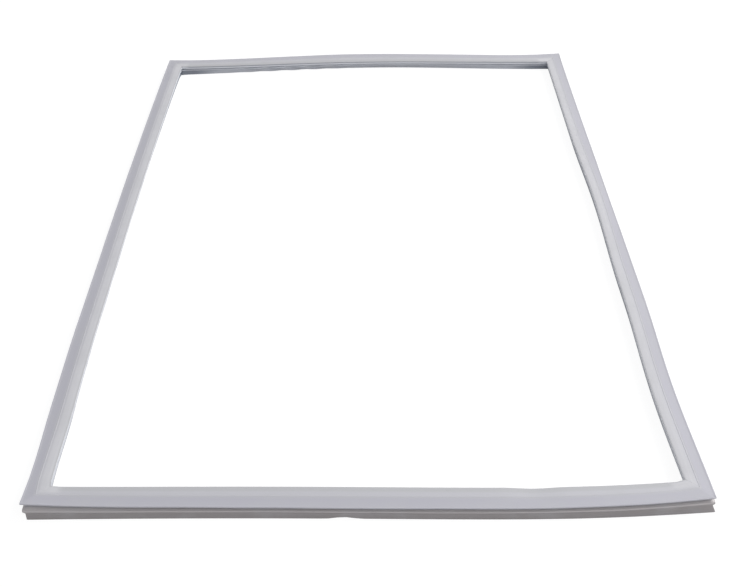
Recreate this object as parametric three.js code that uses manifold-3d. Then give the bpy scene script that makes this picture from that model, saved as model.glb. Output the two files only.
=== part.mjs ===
import * as THREE from "three";
import { LoftGeometry } from "three/addons/geometries/LoftGeometry.js";
import { mergeVertices } from "three/addons/utils/BufferGeometryUtils.js";
import Module from "manifold-3d";

// Refrigerator door gasket, off its door and lying on its skirts with the sealing face up.
// Millimetres, +Z up, origin on the floor at the middle of the frame, short rails along X.
// The frame is one PVC extrusion, welded at four mitres. Its section is drawn as points
// (across, height): across runs inward from the tip of the sealing lip, height up from the floor.

// Frame, measured over the tips of the sealing lip
const frame_width = 610;
const frame_length = 915;

// Magnet strip and its pocket
const magnet_width = 8.2;
const magnet_thickness = 2.8;
const magnet_clearance = 0.3;
const magnet_end_gap = 8;
const pocket_wall = 0.8;
const pocket_round = 0.6;

// Sealing face: thin inner lip, crowned pocket top, ridge, dished flap and beaded sealing lip
const profile_width = 22.5;
const inner_lip_overhang = 0.9;
const inner_lip_thickness = 0.7;
const crown_width = 4.6;
const crown_rise = 0.45;
const ridge_width = 1.1;
const ridge_height = 0.3;
const flap_thickness = 1.3;
const flap_step = 0.3;
const flap_dish = 0.25;
const flap_fall = 0.8;
const lip_overhang = 4.4;
const lip_thickness = 1.5;
const lip_bead_width = 1.8;
const lip_round = 0.5;

// Bellows between the pocket and the deck, folded out into one pleat on each side
const bellows_height = 5.2;
const bellows_wall = 0.9;
const pocket_overhang = 3.4;
const pleat_tip = 1.2;
const pleat_round = 0.45;
const outer_fold_setback = 4.2;
const outer_fold_rise = 4.3;
const outer_pleat_setback = 0.1;
const outer_pleat_rise = 2.6;
const inner_fold_setback = 4.6;
const inner_fold_rise = 4;
const inner_pleat_setback = 1.5;
const inner_pleat_rise = 1.9;
const notch_rise = 0.2;

// Deck, skirts and the barbed dart that grips the groove of the door
const deck_thickness = 1.3;
const skirt_height = 5;
const skirt_thickness = 1.2;
const skirt_round = 0.3;
const skirt_flare = 1.3;
const outer_skirt_setback = 0.2;
const inner_skirt_setback = 4;
const dart_stem_width = 2.2;
const dart_barb_width = 5.6;
const dart_barb_height = 2.2;
const dart_barb_hook = 0.4;
const dart_nose_width = 1.4;
const dart_floor_gap = 0.6;

// Holes that let air out of the bellows, and the slits that the magnets were loaded through
const vent_length = 9;
const vent_width = 1.6;
const slit_length = 5;
const slit_width = 3;

// How the limp frame lies at its corners: near left, near right, far right and far left.
// Stand lifts the sealing face, flare lifts the lip above it, and pleat lifts the pleats.
// Foot_x and foot_y move the foot of the skirts, and the deck goes with them by deck_share.
const corner_reach = 55;
const deck_share = 0.3;
const corners = [
  { out_x: -1, out_y: -1, stand: 3.1, flare: 2.6, pleat: -1, foot_x: 2.2, foot_y: 0 },
  { out_x: 1, out_y: -1, stand: 1.8, flare: 1.3, pleat: 1, foot_x: 2.4, foot_y: -0.6 },
  { out_x: 1, out_y: 1, stand: -1.6, flare: 3.9, pleat: 0, foot_x: 0, foot_y: 0 },
  { out_x: -1, out_y: 1, stand: -1.2, flare: 1.3, pleat: 0, foot_x: 1.2, foot_y: -3.2 },
];
const far_rail_skew = 6;

// Each rail bows outward by bow, fullest at peak (a share of its length). At mid rail the skirts
// lie foot_out further out than the sealing face, and the lip hangs lower by droop.
const rails = [
  { name: "near", steps: 9, bow: 6.2, peak: 0.75, fullness: 1, stand: 0.6, foot_out: 0.1, droop: 1.6 },
  { name: "right", steps: 10, bow: 0, peak: 0.5, fullness: 1, stand: -0.6, foot_out: -0.8, droop: 0 },
  { name: "far", steps: 8, bow: 9.8, peak: 0.5, fullness: 2, stand: -1.8, foot_out: 4.4, droop: -3 },
  { name: "left", steps: 9, bow: 5.5, peak: 0.5, fullness: 0.8, stand: -0.6, foot_out: 1.2, droop: 0 },
];

// A kink in the near rail, a nick in its outer skirt, and stretches of the long rails that lie
// unevenly. At is the distance from the rail's start, and reach is half the dent's length. Out
// moves the rail outward, tuck draws the lip in, and foot moves the skirts outward.
const dents = [
  { rail: "near", at: 452, reach: 30, out: 0, tuck: 0, foot: 0, stand: -1.6, flare: 1.6, nick: 0 },
  { rail: "near", at: 283, reach: 17, out: 0, tuck: 0, foot: 0, stand: 0, flare: 0, nick: 2.1 },
  { rail: "right", at: 150, reach: 150, out: -2.8, tuck: 0, foot: 0, stand: 0, flare: 0, nick: 0 },
  { rail: "right", at: 500, reach: 170, out: 3, tuck: 3, foot: 0, stand: 0, flare: 0, nick: 0 },
  { rail: "left", at: 700, reach: 160, out: 0.9, tuck: 0, foot: 0, stand: 0, flare: 0, nick: 0 },
  { rail: "left", at: 870, reach: 90, out: 1.2, tuck: 2.2, foot: 1, stand: 0, flare: 0, nick: 0 },
];

// Slanting folds where the left part of the far rail is bunched up, from below the floor line
// by root to the pocket. Slant turns the wave with height, in radians a millimetre.
const bunch = { rail: "far", at: 420, reach: 140, pitch: 34, root: 2, push: 1.9, lift: 0.6, slant: -0.45 };

const station_gap = 7;
const round_steps = 2;
const weld_tolerance = 1e-4;

const pocket_hollow_width = magnet_width + 2 * magnet_clearance;
const pocket_hollow_height = magnet_thickness + 2 * magnet_clearance;
const pocket_width = pocket_hollow_width + 2 * pocket_wall;
const pocket_height = pocket_hollow_height + 2 * pocket_wall;
const deck_top = skirt_height + deck_thickness;
const pocket_bottom = deck_top + bellows_height;
const profile_height = pocket_bottom + pocket_height;
const pocket_side = profile_width - inner_lip_overhang;
const pocket_across = pocket_side - pocket_width;
const pocket_rim = profile_height - crown_rise;
const flap_top = profile_height - flap_step;
const flap_low = flap_top - flap_dish;
const lip_top = flap_top - flap_fall;
const flap_bottom = flap_low - flap_thickness;
const outer_notch = outer_skirt_setback + skirt_flare;
const outer_pleat = deck_top + outer_pleat_rise;
const inner_foot = profile_width - inner_skirt_setback;
const inner_notch = inner_foot - skirt_flare;
const inner_pleat = deck_top + inner_pleat_rise;
const magnet_start = profile_width + magnet_end_gap;

const wasm = await Module();
wasm.setup();

// Closed outline through corners [across, height, round], with each rounded corner as a curve
function rounded_outline(points) {
  const path = new THREE.Path();
  points.forEach(([across, height, round = 0], i) => {
    const here = new THREE.Vector2(across, height);
    const towards = (point) => new THREE.Vector2(...point).sub(here).setLength(round).add(here);
    const before = towards(points.at(i - 1));
    const after = towards(points[(i + 1) % points.length]);
    if (i === 0) path.moveTo(before.x, before.y);
    else path.lineTo(before.x, before.y);
    if (round > 0) path.quadraticCurveTo(here.x, here.y, after.x, after.y);
  });
  return path.getPoints(round_steps);
}

// The skirts, the deck between them and the dart, from the outer side to the inner
function foot_corners() {
  const outer_top = outer_notch + skirt_thickness;
  const inner_top = inner_notch - skirt_thickness;
  const middle = (outer_top + inner_top) / 2;
  const barb_top = dart_floor_gap + dart_barb_height;
  const half_dart = [
    [dart_stem_width / 2, skirt_height],
    [dart_stem_width / 2, barb_top],
    [dart_barb_width / 2, barb_top - dart_barb_hook],
    [dart_nose_width / 2, dart_floor_gap],
  ];
  return [
    [outer_skirt_setback, 0, skirt_round],
    [outer_skirt_setback + skirt_thickness, 0],
    [outer_top, skirt_height],
    ...half_dart.map(([half, height]) => [middle - half, height]),
    ...half_dart.toReversed().map(([half, height]) => [middle + half, height]),
    [inner_top, skirt_height],
    [inner_foot - skirt_thickness, 0],
    [inner_foot, 0, skirt_round],
  ];
}

// Outside of the extrusion, from the inner lip over the sealing lip, the skirts and back up
function skin_outline() {
  const inner_tip = profile_width - inner_pleat_setback;
  const crown_middle = pocket_side - pocket_width / 2;
  const ridge_foot = profile_height - crown_rise / 2;
  return rounded_outline([
    [profile_width, pocket_rim],
    [crown_middle + crown_width / 2, profile_height],
    [crown_middle - crown_width / 2, profile_height],
    [pocket_across + ridge_width, ridge_foot],
    [pocket_across + ridge_width / 2, ridge_foot + ridge_height],
    [pocket_across, ridge_foot],
    [pocket_across - ridge_width, flap_top],
    [pocket_across / 2, flap_low - flap_fall / 2],
    [lip_bead_width, lip_top - flap_dish],
    [lip_bead_width / 2, lip_top],
    [0, lip_top, lip_round],
    [0, lip_top - lip_thickness, lip_round],
    [lip_overhang, flap_bottom],
    [outer_fold_setback, deck_top + outer_fold_rise],
    [outer_pleat_setback, outer_pleat + pleat_tip / 2, pleat_round],
    [outer_pleat_setback, outer_pleat - pleat_tip / 2, pleat_round],
    [outer_notch, deck_top + notch_rise],
    ...foot_corners(),
    [inner_notch, deck_top + notch_rise],
    [inner_tip, inner_pleat - pleat_tip / 2, pleat_round],
    [inner_tip, inner_pleat + pleat_tip / 2, pleat_round],
    [profile_width - inner_fold_setback, deck_top + inner_fold_rise],
    [pocket_side - pocket_overhang, pocket_bottom],
    [pocket_side, pocket_bottom, pocket_round],
    [pocket_side, pocket_rim - inner_lip_thickness],
    [profile_width, pocket_rim - inner_lip_thickness],
  ]);
}

// Air space of the bellows, which runs up beside the pocket under the flap
function bellows_outline() {
  const outer_fold = outer_fold_setback + bellows_wall;
  const inner_fold = profile_width - inner_fold_setback - bellows_wall;
  return rounded_outline([
    [pocket_across, flap_bottom],
    [lip_overhang + bellows_wall, flap_bottom],
    [outer_fold, deck_top + outer_fold_rise - bellows_wall / 2],
    [outer_pleat_setback + pleat_tip, outer_pleat],
    [outer_notch + bellows_wall, deck_top],
    [inner_notch - bellows_wall, deck_top],
    [profile_width - inner_pleat_setback - pleat_tip, inner_pleat],
    [inner_fold, deck_top + inner_fold_rise - bellows_wall / 2],
    [pocket_side - pocket_overhang - bellows_wall, pocket_bottom],
    [pocket_across, pocket_bottom],
  ]);
}

// Rectangle inside the pocket, for its hollow or, less a clearance, for the magnet
function pocket_outline(clearance) {
  const left = pocket_across + pocket_wall + clearance;
  const right = pocket_side - pocket_wall - clearance;
  const low = pocket_bottom + pocket_wall + clearance;
  const high = profile_height - pocket_wall - clearance;
  return rounded_outline([[right, high], [left, high], [left, low], [right, low]]);
}

// Plan position of a frame corner, with the far rail out of square
function corner_point(corner) {
  const skew = corner.out_y > 0 ? (corner.out_x * far_rail_skew) / 2 : 0;
  const y = (corner.out_y * frame_length) / 2 + skew;
  return new THREE.Vector2((corner.out_x * frame_width) / 2, y);
}

// Start, length, direction and inward normal of a rail
function rail_line(index) {
  const start = corner_point(corners[index]);
  const end = corner_point(corners[(index + 1) % corners.length]);
  const along = end.clone().sub(start).normalize();
  return { start, length: end.distanceTo(start), along, inward: new THREE.Vector2(-along.y, along.x) };
}

// Smooth bump, 1 at its middle and 0 beyond its reach
function bump(distance, reach) {
  return Math.abs(distance) < reach ? Math.cos((Math.PI * distance) / reach / 2) ** 2 : 0;
}

// Pose of the section at a distance along a rail
function rail_station(index, distance) {
  const rail = rails[index];
  const { start, length, along, inward } = rail_line(index);
  const first = corners[index];
  const last = corners[(index + 1) % corners.length];
  const near_first = Math.exp(-distance / corner_reach);
  const near_last = Math.exp((distance - length) / corner_reach);
  const share = distance / length;
  const swell = Math.sin(Math.PI * share);
  const bow_swell = Math.sin(Math.PI * share ** (Math.log(0.5) / Math.log(rail.peak))) ** rail.fullness;
  const local = { out: 0, tuck: 0, foot: 0, stand: 0, flare: 0, nick: 0 };
  for (const dent of dents.filter((item) => item.rail === rail.name)) {
    const depth = bump(distance - dent.at, dent.reach);
    for (const key of Object.keys(local)) local[key] += dent[key] * depth;
  }
  const blend = (key, middle) =>
    middle + (first[key] - middle) * near_first + (last[key] - middle) * near_last;
  const origin = start.clone().addScaledVector(along, distance);
  origin.addScaledVector(inward, -rail.bow * bow_swell - local.out);
  const foot = new THREE.Vector2(blend("foot_x", 0), blend("foot_y", 0));
  foot.addScaledVector(inward, -rail.foot_out * swell ** 2 - local.foot);
  return {
    origin,
    inward,
    foot,
    stand: blend("stand", rail.stand) + local.stand,
    flare: blend("flare", 0) + local.flare - rail.droop * swell ** 1.5,
    pleat: blend("pleat", 0),
    tuck: local.tuck,
    nick: local.nick,
    bunch: rail.name === bunch.rail ? bump(distance - bunch.at, bunch.reach) : 0,
    phase: (2 * Math.PI * distance) / bunch.pitch,
  };
}

// Pose at a mitre, where the section is stretched along the line that halves the corner
function mitre_station(index) {
  const corner = corners[index];
  const before = rail_line((index + corners.length - 1) % corners.length).inward;
  const after = rail_line(index).inward;
  const mitre = before.clone().add(after).divideScalar(1 + before.dot(after));
  return {
    origin: corner_point(corner),
    inward: mitre,
    foot: new THREE.Vector2(corner.foot_x, corner.foot_y),
    stand: corner.stand,
    flare: corner.flare,
    pleat: corner.pleat,
    tuck: 0,
    nick: 0,
    bunch: 0,
    phase: 0,
  };
}

// Distances of a rail's stations: the ends of its magnet, then through each dent and the bunch
// (a dent longer than a corner's reach needs only its middle), then steps that lie closer
// together near the mitres
function station_distances(index) {
  const rail = rails[index];
  const first = magnet_start;
  const last = rail_line(index).length - magnet_start;
  const wanted = [];
  for (const dent of dents.filter((item) => item.rail === rail.name)) {
    const sides = dent.reach > corner_reach ? [0] : [0, -1, 1, -0.5, 0.5];
    for (const side of sides) wanted.push(dent.at + side * dent.reach);
  }
  if (rail.name === bunch.rail) {
    for (let at = -bunch.reach; at <= bunch.reach; at += bunch.pitch / 3) wanted.push(bunch.at + at);
  }
  for (let i = 1; i < rail.steps; i += 1) {
    const even = i / rail.steps;
    const eased = (1 - Math.cos(Math.PI * even)) / 2;
    wanted.push(first + ((last - first) * (even + eased)) / 2);
  }
  const kept = [first, last];
  for (const at of wanted.filter((distance) => distance > first && distance < last)) {
    if (kept.every((other) => Math.abs(other - at) > station_gap)) kept.push(at);
  }
  return kept.sort((a, b) => a - b);
}

// A section point in its place. Stand, flare, tuck and pleat act above the deck, and the shift
// of the foot fades upward, most of it in the skirts, which lean.
function place_point(station, across, height) {
  const { clamp } = THREE.MathUtils;
  const rise = clamp((height - deck_top) / bellows_height, 0, 1);
  const lean = clamp(1 - height / deck_top, 0, 1);
  const crumple = 4 * rise * (1 - rise);
  const fold_share = clamp((height + bunch.root) / (pocket_bottom + bunch.root), 0, 1);
  const belly = station.bunch * Math.sin(Math.PI * fold_share);
  const wave = station.phase + bunch.slant * height;
  const outer_share = clamp(1 - across / pocket_across, 0, 1);
  const tucked = station.tuck * rise * outer_share;
  const push = across + tucked + bunch.push * belly * Math.sin(wave);
  const raise = station.stand + station.flare * (1 - across / profile_width);
  const lift = rise * raise + crumple * (station.pleat + bunch.lift * belly * Math.cos(wave));
  const on_outer_skirt = across < outer_notch + skirt_thickness && height < skirt_height;
  const nicked = on_outer_skirt ? station.nick * (1 - height / skirt_height) : 0;
  const at = station.origin.clone().addScaledVector(station.inward, push);
  at.addScaledVector(station.foot, deck_share * (1 - rise) + (1 - deck_share) * lean);
  return new THREE.Vector3(at.x, at.y, height + lift + nicked);
}

function place_outline(station, outline) {
  return outline.map(({ x, y }) => place_point(station, x, y));
}

// Stations all the way round the frame, back to the first mitre
function frame_stations() {
  const ring = rails.flatMap((rail, index) => [
    mitre_station(index),
    ...station_distances(index).map((distance) => rail_station(index, distance)),
  ]);
  return [...ring, ring[0]];
}

// The loft or box as plain triangles on shared vertices
function welded(geometry) {
  const plain = new THREE.BufferGeometry().copy(geometry);
  plain.deleteAttribute("normal");
  plain.deleteAttribute("uv");
  return mergeVertices(plain, weld_tolerance);
}

function to_solid(geometry) {
  const closed = welded(geometry);
  const vertProperties = new Float32Array(closed.attributes.position.array);
  const triVerts = new Uint32Array(closed.index.array);
  return new wasm.Manifold(new wasm.Mesh({ numProp: 3, vertProperties, triVerts }));
}

function to_geometry(solid) {
  const mesh = solid.getMesh();
  const geometry = new THREE.BufferGeometry();
  geometry.setAttribute("position", new THREE.BufferAttribute(mesh.vertProperties, 3));
  geometry.setIndex(new THREE.BufferAttribute(mesh.triVerts, 1));
  return geometry;
}

// Closed tube round the whole frame
function frame_tube(outline) {
  return to_solid(new LoftGeometry(frame_stations().map((station) => place_outline(station, outline))));
}

// Cutter through a thin level wall at a section point, long way along the rail
function wall_cutter(index, distance, across, height, length, width, thickness) {
  const { along } = rail_line(index);
  const box = new THREE.BoxGeometry(length, width, 2 * thickness);
  box.rotateZ(Math.atan2(along.y, along.x));
  const at = place_point(rail_station(index, distance), across, height);
  return to_solid(box.translate(at.x, at.y, at.z));
}

// One vent through the deck at the middle of each rail, between the outer skirt and the dart
function vent_cutter(index) {
  const across = (outer_notch + skirt_thickness + profile_width / 2 - dart_barb_width / 2) / 2;
  const middle = rail_line(index).length / 2;
  const height = skirt_height + deck_thickness / 2;
  return wall_cutter(index, middle, across, height, vent_length, vent_width, deck_thickness);
}

// One slit through the floor of the pocket beside each mitre, just before the magnet
function slit_cutter(index) {
  const across = pocket_side - pocket_width / 2;
  const height = pocket_bottom + pocket_wall / 2;
  const distance = magnet_start - slit_length / 2;
  return wall_cutter(index, distance, across, height, slit_length, slit_width, pocket_wall);
}

function gasket_frame() {
  let solid = frame_tube(skin_outline());
  solid = solid.subtract(frame_tube(bellows_outline()));
  solid = solid.subtract(frame_tube(pocket_outline(0)));
  for (const index of rails.keys()) {
    solid = solid.subtract(vent_cutter(index)).subtract(slit_cutter(index));
  }
  return to_geometry(solid);
}

function magnet_strip(index) {
  const outline = pocket_outline(magnet_clearance);
  const stations = station_distances(index).map((distance) => rail_station(index, distance));
  const sections = stations.map((station) => place_outline(station, outline));
  return welded(new LoftGeometry(sections, { capStart: true, capEnd: true }));
}

const pvc = { color: 0xc9cad2, roughness: 0.55, metalness: 0 };
const magnet_rubber = { color: 0x3a3634, roughness: 0.8, metalness: 0 };

const gasket = new THREE.Group();

function add_mesh(name, geometry, finish) {
  const mesh = new THREE.Mesh(geometry, new THREE.MeshStandardMaterial(finish));
  mesh.name = name;
  gasket.add(mesh);
}

add_mesh("gasket_frame", gasket_frame(), pvc);
rails.forEach((rail, index) => add_mesh(`magnet_strip_${rail.name}`, magnet_strip(index), magnet_rubber));

// The bows are uneven, so the frame is moved to put its middle over the origin
const middle = new THREE.Box3().setFromObject(gasket).getCenter(new THREE.Vector3());
gasket.position.set(-middle.x, -middle.y, 0);

export default gasket;
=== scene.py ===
import math
from types import SimpleNamespace

import bpy
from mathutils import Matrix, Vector, noise


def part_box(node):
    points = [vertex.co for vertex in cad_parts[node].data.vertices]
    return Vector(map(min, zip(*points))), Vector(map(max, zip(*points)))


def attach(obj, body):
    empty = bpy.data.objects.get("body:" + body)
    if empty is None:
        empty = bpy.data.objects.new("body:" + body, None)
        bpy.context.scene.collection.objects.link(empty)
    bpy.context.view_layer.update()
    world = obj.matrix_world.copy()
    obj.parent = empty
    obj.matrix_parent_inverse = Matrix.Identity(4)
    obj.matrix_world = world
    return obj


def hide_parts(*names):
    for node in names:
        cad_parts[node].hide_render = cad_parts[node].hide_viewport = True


# A refrigerator door gasket lying on a white ground, sealing face up.
# The section and the lie of the limp frame are laid out in millimetres and placed in metres.
MM = 0.001

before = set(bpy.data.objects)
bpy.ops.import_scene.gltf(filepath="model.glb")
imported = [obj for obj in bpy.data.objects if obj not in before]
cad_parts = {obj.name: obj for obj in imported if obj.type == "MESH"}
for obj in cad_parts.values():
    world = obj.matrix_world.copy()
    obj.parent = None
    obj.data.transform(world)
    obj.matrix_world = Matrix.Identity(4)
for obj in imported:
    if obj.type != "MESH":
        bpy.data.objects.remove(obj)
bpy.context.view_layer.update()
cad_frame_low, cad_frame_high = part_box("gasket_frame")

# Frame, measured over the tips of the sealing lip
FRAME_WIDTH = 610
FRAME_LENGTH = 915

# Magnet pocket
POCKET_WIDTH = 10.4
POCKET_HEIGHT = 5.0
POCKET_WALL = 0.8
POCKET_ROUND = 0.6

# Sealing face: thin inner lip, crowned pocket top, ridge, dished flap and beaded sealing lip
PROFILE_WIDTH = 22.5
INNER_LIP_OVERHANG = 0.9
INNER_LIP_THICKNESS = 0.7
CROWN_WIDTH = 4.6
CROWN_RISE = 0.45
CROWN_INNER_ROUND = 1.8
CROWN_OUTER_ROUND = 1.2
RIDGE_WIDTH = 1.1
RIDGE_HEIGHT = 0.3
FLAP_THICKNESS = 1.3
FLAP_STEP = 0.3
FLAP_DISH = 0.25
FLAP_FALL = 0.8
FLAP_ROUND = 0.5
DISH_ROUND = 2
LIP_OVERHANG = 4.4
LIP_THICKNESS = 1.5
LIP_BEAD_WIDTH = 1.8
LIP_ROUND = 0.5
BEAD_ROUND = 0.4
EDGE_ROUND = 0.25

# Bellows between the pocket and the deck, folded out into one pleat on each side
BELLOWS_HEIGHT = 5.2
BELLOWS_WALL = 0.9
POCKET_OVERHANG = 3.4
PLEAT_TIP = 1.2
PLEAT_ROUND = 0.45
FOLD_ROUND = 0.4
ROOT_ROUND = 0.3
OUTER_FOLD_SETBACK = 4.2
OUTER_FOLD_RISE = 4.3
OUTER_PLEAT_SETBACK = 0.1
OUTER_PLEAT_RISE = 2.6
INNER_FOLD_SETBACK = 4.6
INNER_FOLD_RISE = 4
INNER_PLEAT_SETBACK = 1.5
INNER_PLEAT_RISE = 1.9
NOTCH_RISE = 0.2

# Deck, skirts and barbed dart
DECK_THICKNESS = 1.3
SKIRT_HEIGHT = 5
SKIRT_THICKNESS = 1.2
SKIRT_ROUND = 0.3
SKIRT_ROOT_ROUND = 0.4
SKIRT_FLARE = 1.3
OUTER_SKIRT_SETBACK = 0.2
INNER_SKIRT_SETBACK = 4
DART_STEM_WIDTH = 2.2
DART_BARB_WIDTH = 5.6
DART_BARB_HEIGHT = 2.2
DART_BARB_HOOK = 0.4
DART_NOSE_WIDTH = 1.4
DART_BARB_ROUND = 0.15
DART_NOSE_ROUND = 0.3
DART_FLOOR_GAP = 0.6

# Vents in the deck, the slits that the magnets were loaded through, and where the magnets end
VENT_LENGTH = 9
VENT_WIDTH = 1.6
SLIT_LENGTH = 5
SLIT_WIDTH = 3
MAGNET_SETBACK = 8

# Levels and places in the section that follow from the sizes
DECK_TOP = SKIRT_HEIGHT + DECK_THICKNESS
POCKET_BOTTOM = DECK_TOP + BELLOWS_HEIGHT
PROFILE_HEIGHT = POCKET_BOTTOM + POCKET_HEIGHT
POCKET_SIDE = PROFILE_WIDTH - INNER_LIP_OVERHANG
POCKET_ACROSS = POCKET_SIDE - POCKET_WIDTH
POCKET_RIM = PROFILE_HEIGHT - CROWN_RISE
FLAP_TOP = PROFILE_HEIGHT - FLAP_STEP
FLAP_LOW = FLAP_TOP - FLAP_DISH
LIP_TOP = FLAP_TOP - FLAP_FALL
FLAP_BOTTOM = FLAP_LOW - FLAP_THICKNESS
OUTER_NOTCH = OUTER_SKIRT_SETBACK + SKIRT_FLARE
OUTER_PLEAT = DECK_TOP + OUTER_PLEAT_RISE
INNER_FOOT = PROFILE_WIDTH - INNER_SKIRT_SETBACK
INNER_NOTCH = INNER_FOOT - SKIRT_FLARE
INNER_PLEAT = DECK_TOP + INNER_PLEAT_RISE
MAGNET_START = PROFILE_WIDTH + MAGNET_SETBACK

# How the limp frame lies at its corners: near left, near right, far right and far left
CORNER_REACH = 55
DECK_SHARE = 0.3
FAR_RAIL_SKEW = 6
CORNERS = [
    SimpleNamespace(out_x=-1, out_y=-1, stand=3.1, flare=2.6, pleat=-1, foot=(2.2, 0)),
    SimpleNamespace(out_x=1, out_y=-1, stand=1.8, flare=1.3, pleat=1, foot=(2.4, -0.6)),
    SimpleNamespace(out_x=1, out_y=1, stand=-1.6, flare=3.9, pleat=0, foot=(0, 0)),
    SimpleNamespace(out_x=-1, out_y=1, stand=-1.2, flare=1.3, pleat=0, foot=(1.2, -3.2)),
]

# Each rail's outward bow and its fullest place, and how its skirts and lip lie at mid rail
RAILS = [
    SimpleNamespace(name="near", bow=6.2, peak=0.75, fullness=1, stand=0.6, foot_out=0.1, droop=1.6),
    SimpleNamespace(name="right", bow=0, peak=0.5, fullness=1, stand=-0.6, foot_out=-0.8, droop=0),
    SimpleNamespace(name="far", bow=9.8, peak=0.5, fullness=2, stand=-1.8, foot_out=4.4, droop=-3),
    SimpleNamespace(name="left", bow=5.5, peak=0.5, fullness=0.8, stand=-0.6, foot_out=1.2, droop=0),
]

# A kink and a nick in the near rail, and stretches of the long rails that lie in or out of line,
# some with the sealing lip tucked in or the foot pushed out
DENTS = [
    SimpleNamespace(rail="near", at=452, reach=30, out=0, tuck=0, foot=0, stand=-1.6, flare=1.6, nick=0),
    SimpleNamespace(rail="near", at=283, reach=17, out=0, tuck=0, foot=0, stand=0, flare=0, nick=2.1),
    SimpleNamespace(rail="right", at=150, reach=150, out=-2.8, tuck=0, foot=0, stand=0, flare=0, nick=0),
    SimpleNamespace(rail="right", at=500, reach=170, out=3, tuck=3, foot=0, stand=0, flare=0, nick=0),
    SimpleNamespace(rail="left", at=700, reach=160, out=0.9, tuck=0, foot=0, stand=0, flare=0, nick=0),
    SimpleNamespace(rail="left", at=870, reach=90, out=1.2, tuck=2.2, foot=1, stand=0, flare=0, nick=0),
]

# Slanting folds on the inner side of the far rail
BUNCH = SimpleNamespace(rail="far", at=420, reach=140, pitch=34, root=2, push=2.3, lift=1.4, slant=-0.45)

# Slow unevenness of the soft lip and pleats, and the bead of each corner weld
LIP_RIPPLE = 0.5
LIP_RIPPLE_LENGTH = 70
PLEAT_RIPPLE = 0.5
PLEAT_RIPPLE_LENGTH = 45
WANDER_STEP = 7.3
WANDER_PLACE = 0.5
BEAD_HEIGHT = 0.2
BEAD_REACH = 1.4

# Fineness of the mesh, and the shares of the way from a mitre to the magnet that have a ring
STATION_PITCH = 8
ROUND_STEPS = 4
SMOOTH_ANGLE = 38
DOUBLES_REACH = 0.001
CORNER_SHARES = [0.02, 0.05, 0.1, 0.25, 0.45, 0.65, 0.85]

# The photograph's width and focal length in pixels, and the camera that was fitted to it
PHOTO_WIDTH = 745
PHOTO_FOCAL = 1053.4
SENSOR_WIDTH = 36
CAMERA_PLACE = (0.00402, -1.0834, 0.7218)
CAMERA_TURN = (52.68, 0.37, -0.56)


def rounded_outline(corners, steps=ROUND_STEPS):
    """Closed outline through corners (across, height, round), with each round as a curve."""
    outline = []
    for i, (across, height, reach) in enumerate(corners):
        here = Vector((across, height))
        if reach == 0:
            outline.append(here)
            continue
        before = here + (Vector(corners[i - 1][:2]) - here).normalized() * reach
        after = here + (Vector(corners[(i + 1) % len(corners)][:2]) - here).normalized() * reach
        for step in range(steps + 1):
            share = step / steps
            outline.append(before.lerp(here, share).lerp(here.lerp(after, share), share))
    return outline


def foot_corners():
    """The skirts, the deck between them and the dart, from the outer side to the inner."""
    outer_top = OUTER_NOTCH + SKIRT_THICKNESS
    inner_top = INNER_NOTCH - SKIRT_THICKNESS
    middle = (outer_top + inner_top) / 2
    barb_top = DART_FLOOR_GAP + DART_BARB_HEIGHT
    half_dart = [
        (DART_STEM_WIDTH / 2, SKIRT_HEIGHT, 0),
        (DART_STEM_WIDTH / 2, barb_top, 0),
        (DART_BARB_WIDTH / 2, barb_top - DART_BARB_HOOK, DART_BARB_ROUND),
        (DART_NOSE_WIDTH / 2, DART_FLOOR_GAP, DART_NOSE_ROUND),
    ]
    return [
        (OUTER_SKIRT_SETBACK, 0, SKIRT_ROUND),
        (OUTER_SKIRT_SETBACK + SKIRT_THICKNESS, 0, SKIRT_ROUND),
        (outer_top, SKIRT_HEIGHT, SKIRT_ROOT_ROUND),
        *[(middle - half, height, reach) for half, height, reach in half_dart],
        *[(middle + half, height, reach) for half, height, reach in reversed(half_dart)],
        (inner_top, SKIRT_HEIGHT, SKIRT_ROOT_ROUND),
        (INNER_FOOT - SKIRT_THICKNESS, 0, SKIRT_ROUND),
        (INNER_FOOT, 0, SKIRT_ROUND),
    ]


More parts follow.
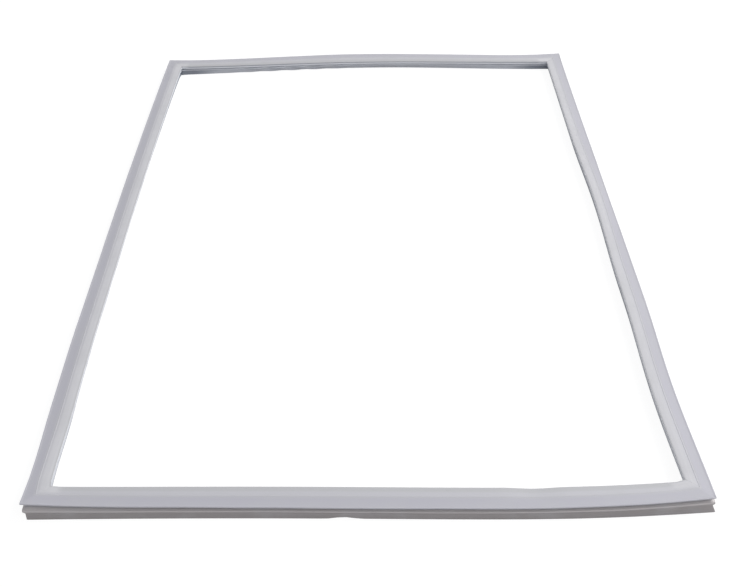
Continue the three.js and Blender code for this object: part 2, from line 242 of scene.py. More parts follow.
def skin_outline():
    """Outside of the extrusion, from the inner lip over the sealing lip, the skirts and back up."""
    inner_tip = PROFILE_WIDTH - INNER_PLEAT_SETBACK
    crown_middle = POCKET_SIDE - POCKET_WIDTH / 2
    ridge_foot = PROFILE_HEIGHT - CROWN_RISE / 2
    return rounded_outline([
        (PROFILE_WIDTH, POCKET_RIM, EDGE_ROUND),
        (crown_middle + CROWN_WIDTH / 2, PROFILE_HEIGHT, CROWN_INNER_ROUND),
        (crown_middle - CROWN_WIDTH / 2, PROFILE_HEIGHT, CROWN_OUTER_ROUND),
        (POCKET_ACROSS + RIDGE_WIDTH, ridge_foot, EDGE_ROUND),
        (POCKET_ACROSS + RIDGE_WIDTH / 2, ridge_foot + RIDGE_HEIGHT, EDGE_ROUND),
        (POCKET_ACROSS, ridge_foot, EDGE_ROUND),
        (POCKET_ACROSS - RIDGE_WIDTH, FLAP_TOP, FLAP_ROUND),
        (POCKET_ACROSS / 2, FLAP_LOW - FLAP_FALL / 2, DISH_ROUND),
        (LIP_BEAD_WIDTH, LIP_TOP - FLAP_DISH, BEAD_ROUND),
        (LIP_BEAD_WIDTH / 2, LIP_TOP, BEAD_ROUND),
        (0, LIP_TOP, LIP_ROUND),
        (0, LIP_TOP - LIP_THICKNESS, LIP_ROUND),
        (LIP_OVERHANG, FLAP_BOTTOM, ROOT_ROUND),
        (OUTER_FOLD_SETBACK, DECK_TOP + OUTER_FOLD_RISE, FOLD_ROUND),
        (OUTER_PLEAT_SETBACK, OUTER_PLEAT + PLEAT_TIP / 2, PLEAT_ROUND),
        (OUTER_PLEAT_SETBACK, OUTER_PLEAT - PLEAT_TIP / 2, PLEAT_ROUND),
        (OUTER_NOTCH, DECK_TOP + NOTCH_RISE, EDGE_ROUND),
        *foot_corners(),
        (INNER_NOTCH, DECK_TOP + NOTCH_RISE, EDGE_ROUND),
        (inner_tip, INNER_PLEAT - PLEAT_TIP / 2, PLEAT_ROUND),
        (inner_tip, INNER_PLEAT + PLEAT_TIP / 2, PLEAT_ROUND),
        (PROFILE_WIDTH - INNER_FOLD_SETBACK, DECK_TOP + INNER_FOLD_RISE, FOLD_ROUND),
        (POCKET_SIDE - POCKET_OVERHANG, POCKET_BOTTOM, ROOT_ROUND),
        (POCKET_SIDE, POCKET_BOTTOM, POCKET_ROUND),
        (POCKET_SIDE, POCKET_RIM - INNER_LIP_THICKNESS, EDGE_ROUND),
        (PROFILE_WIDTH, POCKET_RIM - INNER_LIP_THICKNESS, EDGE_ROUND),
    ])


def bellows_outline():
    """Air space of the bellows, which runs up beside the pocket under the flap."""
    outer_fold = OUTER_FOLD_SETBACK + BELLOWS_WALL
    inner_fold = PROFILE_WIDTH - INNER_FOLD_SETBACK - BELLOWS_WALL
    return rounded_outline([
        (POCKET_ACROSS, FLAP_BOTTOM, 0),
        (LIP_OVERHANG + BELLOWS_WALL, FLAP_BOTTOM, 0),
        (outer_fold, DECK_TOP + OUTER_FOLD_RISE - BELLOWS_WALL / 2, 0),
        (OUTER_PLEAT_SETBACK + PLEAT_TIP, OUTER_PLEAT, 0),
        (OUTER_NOTCH + BELLOWS_WALL, DECK_TOP, 0),
        (INNER_NOTCH - BELLOWS_WALL, DECK_TOP, 0),
        (PROFILE_WIDTH - INNER_PLEAT_SETBACK - PLEAT_TIP, INNER_PLEAT, 0),
        (inner_fold, DECK_TOP + INNER_FOLD_RISE - BELLOWS_WALL / 2, 0),
        (POCKET_SIDE - POCKET_OVERHANG - BELLOWS_WALL, POCKET_BOTTOM, 0),
        (POCKET_ACROSS, POCKET_BOTTOM, 0),
    ])


def pocket_outline():
    """Hollow of the pocket, which the magnet lies in."""
    left = POCKET_ACROSS + POCKET_WALL
    right = POCKET_SIDE - POCKET_WALL
    low = POCKET_BOTTOM + POCKET_WALL
    high = PROFILE_HEIGHT - POCKET_WALL
    return rounded_outline([(right, high, 0), (left, high, 0), (left, low, 0), (right, low, 0)])


def corner_point(corner):
    """Plan position of a frame corner, with the far rail out of square."""
    skew = corner.out_x * FAR_RAIL_SKEW / 2 if corner.out_y > 0 else 0
    return Vector((corner.out_x * FRAME_WIDTH / 2, corner.out_y * FRAME_LENGTH / 2 + skew))


def rail_line(index):
    """Start, length, direction and inward normal of a rail."""
    start = corner_point(CORNERS[index])
    run = corner_point(CORNERS[(index + 1) % len(CORNERS)]) - start
    along = run.normalized()
    inward = Vector((-along.y, along.x))
    return SimpleNamespace(start=start, length=run.length, along=along, inward=inward)


def bump(distance, reach):
    """Smooth bump, 1 at its middle and 0 beyond its reach."""
    return math.cos(math.pi * distance / reach / 2) ** 2 if abs(distance) < reach else 0


def rail_station(index, distance):
    """Pose of the section at a distance along a rail."""
    rail = RAILS[index]
    line = rail_line(index)
    first = CORNERS[index]
    last = CORNERS[(index + 1) % len(CORNERS)]
    near_first = math.exp(-distance / CORNER_REACH)
    near_last = math.exp((distance - line.length) / CORNER_REACH)
    share = distance / line.length
    swell = math.sin(math.pi * share)
    bow_swell = math.sin(math.pi * share ** (math.log(0.5) / math.log(rail.peak))) ** rail.fullness

    def blend(here, there, middle):
        return middle + (here - middle) * near_first + (there - middle) * near_last

    dents = [(dent, bump(distance - dent.at, dent.reach)) for dent in DENTS if dent.rail == rail.name]
    out = rail.bow * bow_swell + sum(dent.out * depth for dent, depth in dents)
    foot = Vector((blend(first.foot[0], last.foot[0], 0), blend(first.foot[1], last.foot[1], 0)))
    stand = blend(first.stand, last.stand, rail.stand) + sum(dent.stand * depth for dent, depth in dents)
    flare = blend(first.flare, last.flare, 0) + sum(dent.flare * depth for dent, depth in dents)
    foot_shift = sum(dent.foot * depth for dent, depth in dents)
    return SimpleNamespace(
        origin=line.start + line.along * distance - line.inward * out,
        inward=line.inward,
        foot=foot - line.inward * (rail.foot_out * swell ** 2 + foot_shift),
        stand=stand,
        flare=flare - rail.droop * swell ** 1.5,
        pleat=blend(first.pleat, last.pleat, 0),
        tuck=sum(dent.tuck * depth for dent, depth in dents),
        nick=sum(dent.nick * depth for dent, depth in dents),
        bunch=bump(distance - BUNCH.at, BUNCH.reach) if rail.name == BUNCH.rail else 0,
        phase=2 * math.pi * distance / BUNCH.pitch,
        lip_ripple=LIP_RIPPLE * swell ** 0.5 * wander(index, distance, LIP_RIPPLE_LENGTH),
        pleat_ripple=PLEAT_RIPPLE * swell ** 0.5 * wander(index + len(RAILS), distance, PLEAT_RIPPLE_LENGTH),
    )


def wander(row, distance, length):
    """Slow uneven wave along a rail, a different one for each row."""
    return noise.noise(Vector((distance / length, WANDER_STEP * row, WANDER_PLACE)))


def mitre_station(index):
    """Pose at a mitre, where the section is stretched along the line that halves the corner."""
    corner = CORNERS[index]
    before = rail_line(index - 1).inward
    after = rail_line(index).inward
    return SimpleNamespace(
        origin=corner_point(corner),
        inward=(before + after) / (1 + before.dot(after)),
        foot=Vector(corner.foot),
        stand=corner.stand,
        flare=corner.flare,
        pleat=corner.pleat,
        tuck=0,
        nick=0,
        bunch=0,
        phase=0,
        lip_ripple=0,
        pleat_ripple=0,
    )


def place_point(station, across, height):
    """A section point in its place. The shift of the foot fades upward, most of it in the skirts."""
    rise = min(max((height - DECK_TOP) / BELLOWS_HEIGHT, 0), 1)
    lean = min(max(1 - height / DECK_TOP, 0), 1)
    crumple = 4 * rise * (1 - rise)
    fold_share = min(max((height + BUNCH.root) / (POCKET_BOTTOM + BUNCH.root), 0), 1)
    belly = station.bunch * math.sin(math.pi * fold_share)
    wave = station.phase + BUNCH.slant * height
    outer_share = min(max(1 - across / POCKET_ACROSS, 0), 1)
    push = across + station.tuck * rise * outer_share
    push += BUNCH.push * belly * math.sin(wave) + station.pleat_ripple * crumple
    raised = station.stand + station.flare * (1 - across / PROFILE_WIDTH)
    lift = rise * raised + crumple * (station.pleat + BUNCH.lift * belly * math.cos(wave))
    if height > POCKET_BOTTOM and across < POCKET_ACROSS:
        lift += station.lip_ripple * (1 - across / POCKET_ACROSS)
    on_outer_skirt = across < OUTER_NOTCH + SKIRT_THICKNESS and height < SKIRT_HEIGHT
    nicked = station.nick * (1 - height / SKIRT_HEIGHT) if on_outer_skirt else 0
    shift = station.foot * (DECK_SHARE * (1 - rise) + (1 - DECK_SHARE) * lean)
    at = station.origin + station.inward * push + shift
    return Vector((at.x, at.y, height + lift + nicked))


def outline_normals(outline):
    """Outward direction at each point of a section."""
    normals = []
    for i, here in enumerate(outline):
        run = (outline[(i + 1) % len(outline)] - here).normalized() + (here - outline[i - 1]).normalized()
        normals.append(Vector((-run.y, run.x)).normalized())
    return normals


def placed_rings(outline, bead):
    """The section at every station round the frame, as rings of (distance, points)."""
    normals = outline_normals(outline)
    rings = []
    travelled = 0
    for index in range(len(RAILS)):
        length = rail_line(index).length
        first, last = MAGNET_START, length - MAGNET_START
        count = round((last - first) / STATION_PITCH)
        middle = []
        for i in range(count + 1):
            distance = first + (last - first) * i / count
            station = rail_station(index, distance)
            middle.append((travelled + distance, [place_point(station, *point) for point in outline]))
        rings.append((travelled, mitre_ring(index, outline, normals, bead)))
        for share in CORNER_SHARES:
            points = corner_ring(index, outline, normals, bead, share, middle[0][1])
            rings.append((travelled + share * MAGNET_START, points))
        rings.extend(middle)
        for share in reversed(CORNER_SHARES):
            points = corner_ring((index + 1) % len(RAILS), outline, normals, bead, share, middle[-1][1])
            rings.append((travelled + length - share * MAGNET_START, points))
        travelled += length
    rings.append((travelled, rings[0][1]))
    return rings


def mitre_ring(index, outline, normals, swell):
    """The section at a mitre, swollen by the weld bead."""
    station = mitre_station(index)
    return [place_point(station, *(point + normal * swell)) for point, normal in zip(outline, normals)]


def corner_ring(index, outline, normals, bead, share, rail_end):
    """The section at a share of the way from a mitre to the ring where the rail proper ends."""
    swell = bead * bump(share * MAGNET_START, BEAD_REACH)
    mitre = mitre_ring(index, outline, normals, swell)
    return [at_mitre.lerp(at_end, share) for at_mitre, at_end in zip(mitre, rail_end)]


def select_only(piece):
    bpy.ops.object.select_all(action="DESELECT")
    piece.select_set(True)
    bpy.context.view_layer.objects.active = piece


def frame_tube(name, outline, bead=0):
    """Closed tube round the frame: a grid with one row for each ring, placed and closed up.

    Its section attribute keeps the distance round the frame, across and height in metres.
    """
    rings = placed_rings(outline, bead)
    columns, rows = len(outline), len(rings) - 1
    bpy.ops.object.select_all(action="DESELECT")
    bpy.ops.mesh.primitive_grid_add(x_subdivisions=columns, y_subdivisions=rows, size=1)
    tube = bpy.context.object
    tube.name = tube.data.name = name
    section = tube.data.attributes.new("section", "FLOAT_VECTOR", "POINT")
    for vertex in tube.data.vertices:
        column = round((vertex.co.x + 0.5) * columns)
        row = round((vertex.co.y + 0.5) * rows)
        distance, points = rings[row]
        point = outline[column % columns]
        section.data[vertex.index].vector = Vector((distance, point.x, point.y)) * MM
        vertex.co = points[column % columns] * MM
    bpy.ops.object.mode_set(mode="EDIT")
    bpy.ops.mesh.select_all(action="SELECT")
    bpy.ops.mesh.remove_doubles(threshold=DOUBLES_REACH * MM)
    bpy.ops.mesh.normals_make_consistent(inside=False)
    bpy.ops.object.mode_set(mode="OBJECT")
    return tube


def wall_cutter(index, distance, across, height, size):
    """Box through a thin level wall at a section point, long way along the rail."""
    along = rail_line(index).along
    at = place_point(rail_station(index, distance), across, height)
    turn = (0, 0, math.atan2(along.y, along.x))
    bpy.ops.mesh.primitive_cube_add(size=1, location=at * MM, rotation=turn, scale=Vector(size) * MM)
    return bpy.context.object


def hole_cutters():
    """One vent through the deck at mid rail and one slit into the pocket beside each mitre."""
    vent_across = (OUTER_NOTCH + SKIRT_THICKNESS + PROFILE_WIDTH / 2 - DART_BARB_WIDTH / 2) / 2
    vent_height = SKIRT_HEIGHT + DECK_THICKNESS / 2
    vent_size = (VENT_LENGTH, VENT_WIDTH, 2 * DECK_THICKNESS)
    slit_at = MAGNET_START - SLIT_LENGTH / 2
    slit_across = POCKET_SIDE - POCKET_WIDTH / 2
    slit_height = POCKET_BOTTOM + POCKET_WALL / 2
    slit_size = (SLIT_LENGTH, SLIT_WIDTH, 2 * POCKET_WALL)
    cutters = []
    for index in range(len(RAILS)):
        mid_rail = rail_line(index).length / 2
        cutters.append(wall_cutter(index, mid_rail, vent_across, vent_height, vent_size))
        cutters.append(wall_cutter(index, slit_at, slit_across, slit_height, slit_size))
    return cutters


def cut_away(piece, cutter):
    """Takes the cutter's shape out of the piece."""
    select_only(piece)
    cut = piece.modifiers.new("cut", "BOOLEAN")
    cut.operation = "DIFFERENCE"
    cut.solver = "MANIFOLD"
    cut.object = cutter
    bpy.ops.object.modifier_apply(modifier=cut.name)
    bpy.data.objects.remove(cutter)


def centre_on_frame(piece):
    """Moves the piece so that its box has the middle of the frame's own node."""
    low, high = [Vector(corner) for corner in (cad_frame_low, cad_frame_high)]
    places = [vertex.co for vertex in piece.data.vertices]
    middle_x = (min(p.x for p in places) + max(p.x for p in places)) / 2
    middle_y = (min(p.y for p in places) + max(p.y for p in places)) / 2
    select_only(piece)
    shift = ((low.x + high.x) / 2 - middle_x, (low.y + high.y) / 2 - middle_y, 0)
    bpy.ops.transform.translate(value=shift)
    bpy.ops.object.transform_apply(location=True, rotation=True, scale=True)


def make_gasket():
    gasket = frame_tube("gasket", skin_outline(), BEAD_HEIGHT)
    for cutter in (frame_tube("bellows_air", bellows_outline()), frame_tube("pocket_air", pocket_outline())):
        cut_away(gasket, cutter)
    for cutter in hole_cutters():
        cut_away(gasket, cutter)
    centre_on_frame(gasket)
    select_only(gasket)
    bpy.ops.object.shade_smooth_by_angle(angle=math.radians(SMOOTH_ANGLE))
    return gasket


def new_group(name, inputs, outputs):
    """Empty node group with named sockets, each (name, socket type, default)."""
    group = bpy.data.node_groups.new(name, "ShaderNodeTree")
    for socket, kind, default in inputs:
        made = group.interface.new_socket(name=socket, in_out="INPUT", socket_type=kind)
        if default is not None:
            made.default_value = default
    for socket, kind in outputs:
        group.interface.new_socket(name=socket, in_out="OUTPUT", socket_type=kind)
    return group, group.nodes.new("NodeGroupInput"), group.nodes.new("NodeGroupOutput")


def add_node(tree, kind, inputs=None, **settings):
    """New node with its settings, and its inputs set to values or linked from sockets."""
    node = tree.nodes.new(kind)
    for name, value in settings.items():
        setattr(node, name, value)
    for name, value in (inputs or {}).items():
        if isinstance(value, bpy.types.NodeSocket):
            tree.links.new(value, node.inputs[name])
        else:
            node.inputs[name].default_value = value
    return node


def add_math(tree, operation, first, second):
    return add_node(tree, "ShaderNodeMath", {0: first, 1: second}, operation=operation).outputs[0]


def add_range(tree, value, low, high, low_result=0.0, high_result=1.0):
    """Smooth change from one result to the other as the value goes from low to high."""
    inputs = {"Value": value, "From Min": low, "From Max": high, "To Min": low_result, "To Max": high_result}
    return add_node(tree, "ShaderNodeMapRange", inputs, interpolation_type="SMOOTHSTEP").outputs["Result"]


def add_band(tree, value, places):
    """Factor along a value: 0 at the first place and 1 at the second, and with four places 1 as far
    as the third and 0 again at the fourth, all in millimetres."""
    factor = add_range(tree, value, places[0] * MM, places[1] * MM)
    if len(places) == 2:
        return factor
    return add_math(tree, "MULTIPLY", factor, add_range(tree, value, places[3] * MM, places[2] * MM))


def add_tint(tree, base, tint, factor):
    """Base colour mixed towards a tint by a factor over the surface."""
    node = add_node(tree, "ShaderNodeMix", data_type="RGBA")
    tree.links.new(factor, node.inputs["Factor"])
    for socket, value in (("A", base), ("B", tint)):
        target = next(s for s in node.inputs if s.name == socket and s.type == "RGBA")
        if isinstance(value, bpy.types.NodeSocket):
            tree.links.new(value, target)
        else:
            target.default_value = (*value, 1)
    return next(s for s in node.outputs if s.type == "RGBA")


LINE_DENSITY = 1500.0
LINE_STRETCH = 0.004
MOTTLE_SIZE = 40.0
GRAIN_SIZE = 2600.0


def drawn_lines_group():
    """Fine lines that an extrusion die leaves along a strip, and slow mottle over it."""
    inputs = [
        ("Vector", "NodeSocketVector", None),
        ("Line Density", "NodeSocketFloat", LINE_DENSITY),
        ("Mottle Size", "NodeSocketFloat", MOTTLE_SIZE),
    ]
    outputs = [(name, "NodeSocketFloat") for name in ("Lines", "Mottle", "Grain")]
    group, given, result = new_group("drawn_lines", inputs, outputs)
    place = given.outputs["Vector"]
    stretch = add_node(group, "ShaderNodeMapping", {"Vector": place, "Scale": (LINE_STRETCH, 1, 1)})
    textures = [
        ("Lines", stretch.outputs[0], given.outputs["Line Density"], 2.0),
        ("Mottle", place, given.outputs["Mottle Size"], 3.0),
        ("Grain", place, GRAIN_SIZE, 2.0),
    ]
    for name, vector, scale, detail in textures:
        texture_inputs = {"Vector": vector, "Scale": scale, "Detail": detail}
        texture = add_node(group, "ShaderNodeTexNoise", texture_inputs)
        group.links.new(texture.outputs[0], result.inputs[name])
    return group


def new_material(name):
    material = bpy.data.materials.new(name)
    material.use_nodes = True
    tree = material.node_tree
    return material, tree, tree.nodes["Principled BSDF"]


def tint(colour, share, mid_share=None, **bands):
    """A tint with its share, which may be another one at mid rail on the short rails, and its bands."""
    return SimpleNamespace(colour=colour, share=share, mid_share=mid_share, bands=bands)


# Where the tints of the PVC lie, in millimetres, as add_band takes them: across the section from the
# sealing lip, by height, and by distance from the middle of the frame to the left or right
OVER_POCKET = (POCKET_ACROSS - 3, POCKET_ACROSS + 3)
RIDGE_STRIP = (POCKET_ACROSS - 1, POCKET_ACROSS + 2, POCKET_ACROSS + 4, POCKET_ACROSS + 7.5)
# Strip of painted highlight on the crown of the pocket top
CROWN_HIGHLIGHT_STRIP = (POCKET_ACROSS + 1.5, POCKET_ACROSS + 4.5, POCKET_SIDE - 1, PROFILE_WIDTH - 0.5)
OUTER_SIDE = (5, 2)
RECESS_SIDE = (7, 5.5)
INNER_SIDE = (14, 18)
FLANK_SIDE = (POCKET_SIDE - 0.6, POCKET_SIDE - 0.2)
ON_TOP = (FLAP_BOTTOM - 0.5, FLAP_TOP - 0.2)
UNDER_FLAP = (FLAP_BOTTOM - 0.5, OUTER_PLEAT + 1.5)
RECESS_LEVEL = (OUTER_PLEAT + 1.2, OUTER_PLEAT + 2.2, LIP_TOP - 1.6, LIP_TOP - 1.2)
BELOW_PLEAT = (OUTER_PLEAT, OUTER_PLEAT - 0.9)
LIP_SHADE_LEVEL = (POCKET_RIM - 2.6, POCKET_RIM - 2, POCKET_RIM - 0.9, POCKET_RIM - 0.6)
FLANK_LEVEL = (POCKET_BOTTOM, POCKET_BOTTOM + 0.6, POCKET_RIM - 1.2, POCKET_RIM - 0.8)
BELOW_POCKET = (POCKET_BOTTOM + 2, POCKET_BOTTOM)
FOLD_LEVEL = (INNER_PLEAT + 0.9, INNER_PLEAT + 1.5, POCKET_BOTTOM - 0.3, POCKET_BOTTOM + 0.2)
SKIRT_LEVEL = (DECK_TOP + 1, DECK_TOP - 0.3)
LONG_RAILS = (268, 276)
SHORT_RAILS = (276, 268)
MID_RAIL = (270, 220)

# Colours of the PVC, most of them painted light and shade: a darker, bluer flap and a lighter pocket top,
# painted highlights on the ridge, the crown and the pleat, a darker band low on the outer side, painted
# shade in the recess under the lip, in the inner fold, under the inner lip and on the inner skirt, and
# painted light on the inner side and the pocket's inner flank
PVC_COLOUR = (0.56, 0.563, 0.60)
# Painted shade: the flap darker and bluer than the pocket top; the die-line streaks are drawn in this tint
# too
FLAP_SHADE_AND_STREAK_TINT = (0.53, 0.523, 0.59)
# Painted light: the pocket top lighter than the flap; the mottle patches are drawn in this tint too
POCKET_LIGHT_AND_MOTTLE_TINT = (0.57, 0.575, 0.59)
# Painted highlight in a soft strip along the ridge
RIDGE_HIGHLIGHT_TINT = (0.615, 0.615, 0.65)
# Painted highlight on the crown of the pocket top, on the long rails
CROWN_HIGHLIGHT_TINT = (0.685, 0.685, 0.71)
# Painted highlight on the outer pleat, slightly warm
PLEAT_HIGHLIGHT_TINT = (0.575, 0.54, 0.53)
# Darker, warmer tone low on the outer side, below the pleat
LOW_OUTER_DARK_TINT = (0.31, 0.287, 0.285)
# Painted shade in the recess between the pleat and the lip
RECESS_SHADE_TINT = (0.24, 0.23, 0.235)
# Painted light on the inner side below the pocket
INNER_LIGHT_TINT = (0.78, 0.81, 0.86)
# Painted shade in the inner fold under the pocket, weaker at mid rail on the short rails
INNER_FOLD_SHADE_TINT = (0.40, 0.43, 0.49)
# Painted shade on the inner skirt, strongest near the corners
INNER_SKIRT_SHADE_TINT = (0.24, 0.265, 0.315)
# Painted light on the pocket's inner flank
FLANK_LIGHT_TINT = (0.84, 0.86, 0.90)
LIP_SHADE_TINT = (0.25, 0.27, 0.32)

# The tints, most of them painted light and shade, in the order in which they go on
PVC_TINTS = [
    tint(FLAP_SHADE_AND_STREAK_TINT, 0.6, height=ON_TOP),
    tint(POCKET_LIGHT_AND_MOTTLE_TINT, 1.0, across=OVER_POCKET, height=ON_TOP),
    tint(RIDGE_HIGHLIGHT_TINT, 1.0, across=RIDGE_STRIP, height=ON_TOP),
    tint(CROWN_HIGHLIGHT_TINT, 1.0, across=CROWN_HIGHLIGHT_STRIP, height=ON_TOP, off_middle=LONG_RAILS),
    tint(PLEAT_HIGHLIGHT_TINT, 0.9, across=OUTER_SIDE, height=UNDER_FLAP),
    tint(LOW_OUTER_DARK_TINT, 0.85, across=OUTER_SIDE, height=BELOW_PLEAT),
    tint(INNER_LIGHT_TINT, 0.7, across=INNER_SIDE, height=BELOW_POCKET),
    tint(RECESS_SHADE_TINT, 0.9, across=RECESS_SIDE, height=RECESS_LEVEL),
    tint(INNER_FOLD_SHADE_TINT, 0.8, 0.5, across=INNER_SIDE, height=FOLD_LEVEL),
    tint(FLANK_LIGHT_TINT, 1.0, across=FLANK_SIDE, height=FLANK_LEVEL),
    tint(LIP_SHADE_TINT, 0.75, across=FLANK_SIDE, height=LIP_SHADE_LEVEL, off_middle=SHORT_RAILS),
    tint(INNER_SKIRT_SHADE_TINT, 1.0, 0.2, across=INNER_SIDE, height=SKIRT_LEVEL),
]

# How much of the die lines and the mottle shows in the colour, the sheen and the relief
STREAKS = (0.35, 0.7)
STREAK_SHARE = 0.12
PATCHES = (0.4, 0.75)
PATCH_SHARE = 0.25
SHEEN = (0.3, 0.7, 0.40, 0.52)
LINE_RELIEF = 0.8
PVC_BUMP = 0.15
BUMP_DEPTH = 0.05


def add_tint_factor(tree, places, laid):
    """How far a tint shows at each point: its share times all its bands."""
    factor = laid.share
    if laid.mid_share is not None:
        near, far = [place * MM for place in MID_RAIL]
        factor = add_range(tree, places["off_middle"], near, far, laid.share, laid.mid_share)
    for axis, band in laid.bands.items():
        factor = add_math(tree, "MULTIPLY", add_band(tree, places[axis], band), factor)
    return factor


def section_places(tree, section):
    """Sockets of the three values that the bands run along."""
    split = add_node(tree, "ShaderNodeSeparateXYZ", {"Vector": section})
    place = add_node(tree, "ShaderNodeTexCoord").outputs["Object"]
    side = add_node(tree, "ShaderNodeSeparateXYZ", {"Vector": place}).outputs["X"]
    off_middle = add_math(tree, "ABSOLUTE", side, 0.0)
    return {"across": split.outputs["Y"], "height": split.outputs["Z"], "off_middle": off_middle}


def add_bumps(tree, shader, height, strength):
    """Relief on the shader's normal."""
    bump_inputs = {"Height": height, "Strength": strength, "Distance": BUMP_DEPTH * MM}
    bumps = add_node(tree, "ShaderNodeBump", bump_inputs)
    tree.links.new(bumps.outputs["Normal"], shader.inputs["Normal"])


def pvc_material(drawn_lines):
    """Soft pale PVC with its tints, most of them painted light and shade, faint die lines and mottle."""
    material, tree, shader = new_material("soft_pvc")
    section = add_node(tree, "ShaderNodeAttribute", attribute_name="section").outputs["Vector"]
    drawn = add_node(tree, "ShaderNodeGroup", node_tree=drawn_lines)
    tree.links.new(section, drawn.inputs["Vector"])
    places = section_places(tree, section)
    colour = PVC_COLOUR
    for laid in PVC_TINTS:
        colour = add_tint(tree, colour, laid.colour, add_tint_factor(tree, places, laid))
    streaks = add_range(tree, drawn.outputs["Lines"], *STREAKS)
    colour = add_tint(tree, colour, FLAP_SHADE_AND_STREAK_TINT, add_math(tree, "MULTIPLY", streaks, STREAK_SHARE))
    patches = add_range(tree, drawn.outputs["Mottle"], *PATCHES)
    colour = add_tint(tree, colour, POCKET_LIGHT_AND_MOTTLE_TINT, add_math(tree, "MULTIPLY", patches, PATCH_SHARE))
    tree.links.new(colour, shader.inputs["Base Color"])
    tree.links.new(add_range(tree, drawn.outputs["Mottle"], *SHEEN), shader.inputs["Roughness"])
    lines = add_math(tree, "MULTIPLY", drawn.outputs["Lines"], LINE_RELIEF)
    add_bumps(tree, shader, add_math(tree, "ADD", lines, drawn.outputs["Grain"]), PVC_BUMP)
    return material


FERRITE_COLOUR = (0.035, 0.031, 0.029)
BLOOM_TINT = (0.085, 0.075, 0.068)
BLOOM = (0.45, 0.8, 0.0, 0.5)
FERRITE_SHEEN = (0.3, 0.7, 0.62, 0.8)
FERRITE_LINE_DENSITY = 900.0
FERRITE_MOTTLE_SIZE = 90.0
FERRITE_BUMP = 0.4


def magnet_material(drawn_lines):
    """Flexible ferrite strip: brown-black, matte, with a faint dusty bloom."""
    material, tree, shader = new_material("ferrite_strip")
    place = add_node(tree, "ShaderNodeTexCoord").outputs["Object"]
    drawn_inputs = {"Line Density": FERRITE_LINE_DENSITY, "Mottle Size": FERRITE_MOTTLE_SIZE}
    drawn = add_node(tree, "ShaderNodeGroup", drawn_inputs, node_tree=drawn_lines)
    tree.links.new(place, drawn.inputs["Vector"])
    bloom = add_range(tree, drawn.outputs["Mottle"], *BLOOM)
    tree.links.new(add_tint(tree, FERRITE_COLOUR, BLOOM_TINT, bloom), shader.inputs["Base Color"])
    tree.links.new(add_range(tree, drawn.outputs["Grain"], *FERRITE_SHEEN), shader.inputs["Roughness"])
    add_bumps(tree, shader, drawn.outputs["Grain"], FERRITE_BUMP)
    return material


def seen_rays(tree):
    """1 for camera, glossy and transmission rays, which see plain white round the part."""
    path = add_node(tree, "ShaderNodeLightPath")
    seen = add_math(tree, "MAXIMUM", path.outputs["Is Camera Ray"], path.outputs["Is Glossy Ray"])
    return add_math(tree, "MAXIMUM", seen, path.outputs["Is Transmission Ray"])


FLOOR_SIZE = 12
FLOOR_COLOUR = (0.80, 0.80, 0.80, 1)
FLOOR_GLOW = 0.92
FLOOR_SHADE = (0.17, 0.17, 0.17, 1)


def floor_material():
    """White ground that keeps a soft shadow where it is seen."""
    material, tree, shader = new_material("white_ground")
    tree.nodes.remove(shader)
    plain = add_node(tree, "ShaderNodeBsdfDiffuse", {"Color": FLOOR_COLOUR})
    shade = add_node(tree, "ShaderNodeBsdfDiffuse", {"Color": FLOOR_SHADE})
    glow = add_node(tree, "ShaderNodeEmission", {"Color": (1, 1, 1, 1), "Strength": FLOOR_GLOW})
    seen = add_node(tree, "ShaderNodeAddShader", {0: shade.outputs[0], 1: glow.outputs[0]})
    mix_inputs = {0: seen_rays(tree), 1: plain.outputs[0], 2: seen.outputs[0]}
    mix = add_node(tree, "ShaderNodeMixShader", mix_inputs)
    tree.links.new(mix.outputs[0], tree.nodes["Material Output"].inputs["Surface"])
    return material


def add_floor():
    bpy.ops.object.select_all(action="DESELECT")
    bpy.ops.mesh.primitive_plane_add(size=FLOOR_SIZE, location=(0, 0, 0))
    floor = bpy.context.object
    floor.name = "floor"
    floor.data.materials.append(floor_material())


SKY_COLOUR = (0.94, 0.95, 1.0, 1)
SKY_STRENGTH = 0.38


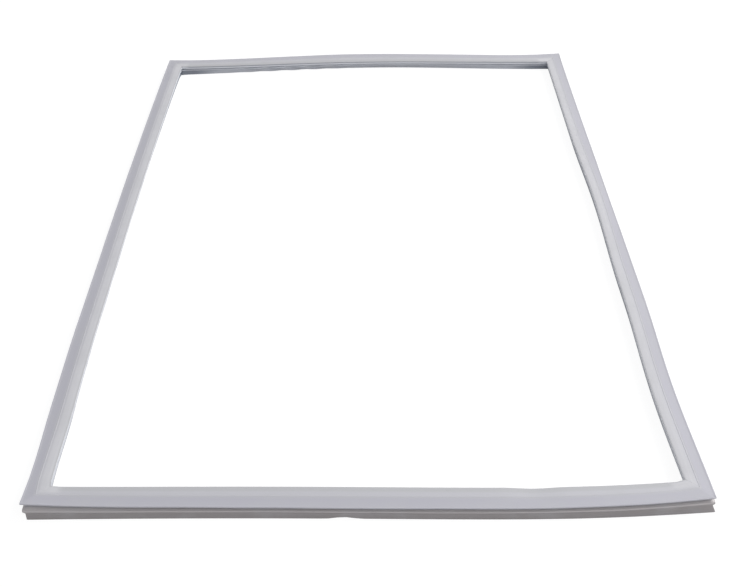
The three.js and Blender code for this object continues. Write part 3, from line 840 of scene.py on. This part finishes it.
def add_world():
    """Soft cool light all round, behind which the camera sees white."""
    world = bpy.data.worlds.new("studio")
    bpy.context.scene.world = world
    world.use_nodes = True
    tree = world.node_tree
    light = tree.nodes["Background"]
    light.inputs["Color"].default_value = SKY_COLOUR
    light.inputs["Strength"].default_value = SKY_STRENGTH
    white = add_node(tree, "ShaderNodeBackground", {"Color": (1, 1, 1, 1), "Strength": 1.0})
    mix_inputs = {0: seen_rays(tree), 1: light.outputs[0], 2: white.outputs[0]}
    mix = add_node(tree, "ShaderNodeMixShader", mix_inputs)
    tree.links.new(mix.outputs[0], tree.nodes["World Output"].inputs["Surface"])


# Soft square lamps: a large one from the right and a weaker one from the front
LAMPS = [
    SimpleNamespace(name="window", place=(2.2, 0.5, 2.4), size=1.4, power=60, colour=(1.0, 0.99, 0.975)),
    SimpleNamespace(name="front", place=(1.3, -1.9, 2.4), size=1.6, power=17, colour=(1.0, 0.99, 0.985)),
]


def add_lamp(lamp):
    """Square lamp aimed at the middle of the gasket."""
    light = bpy.data.lights.new(lamp.name, "AREA")
    light.size = lamp.size
    light.energy = lamp.power
    light.color = lamp.colour
    holder = bpy.data.objects.new(lamp.name, light)
    holder.location = lamp.place
    holder.rotation_euler = (-Vector(lamp.place)).to_track_quat("-Z", "Y").to_euler()
    bpy.context.scene.collection.objects.link(holder)


def add_camera():
    lens = bpy.data.cameras.new("photo_view")
    lens.sensor_width = SENSOR_WIDTH
    lens.lens = PHOTO_FOCAL * lens.sensor_width / PHOTO_WIDTH
    camera = bpy.data.objects.new("photo_view", lens)
    camera.location = CAMERA_PLACE
    camera.rotation_euler = [math.radians(angle) for angle in CAMERA_TURN]
    bpy.context.scene.collection.objects.link(camera)
    bpy.context.scene.camera = camera


add_camera()
add_world()
add_floor()
for lamp in LAMPS:
    add_lamp(lamp)

drawn_lines = drawn_lines_group()
gasket = make_gasket()
gasket.data.materials.clear()
gasket.data.materials.append(pvc_material(drawn_lines))
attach(gasket, "root")
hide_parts("gasket_frame")

ferrite = magnet_material(drawn_lines)
for rail in RAILS:
    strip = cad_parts[f"magnet_strip_{rail.name}"]
    strip.data.materials.clear()
    strip.data.materials.append(ferrite)

bpy.context.scene.view_settings.view_transform = "Standard"
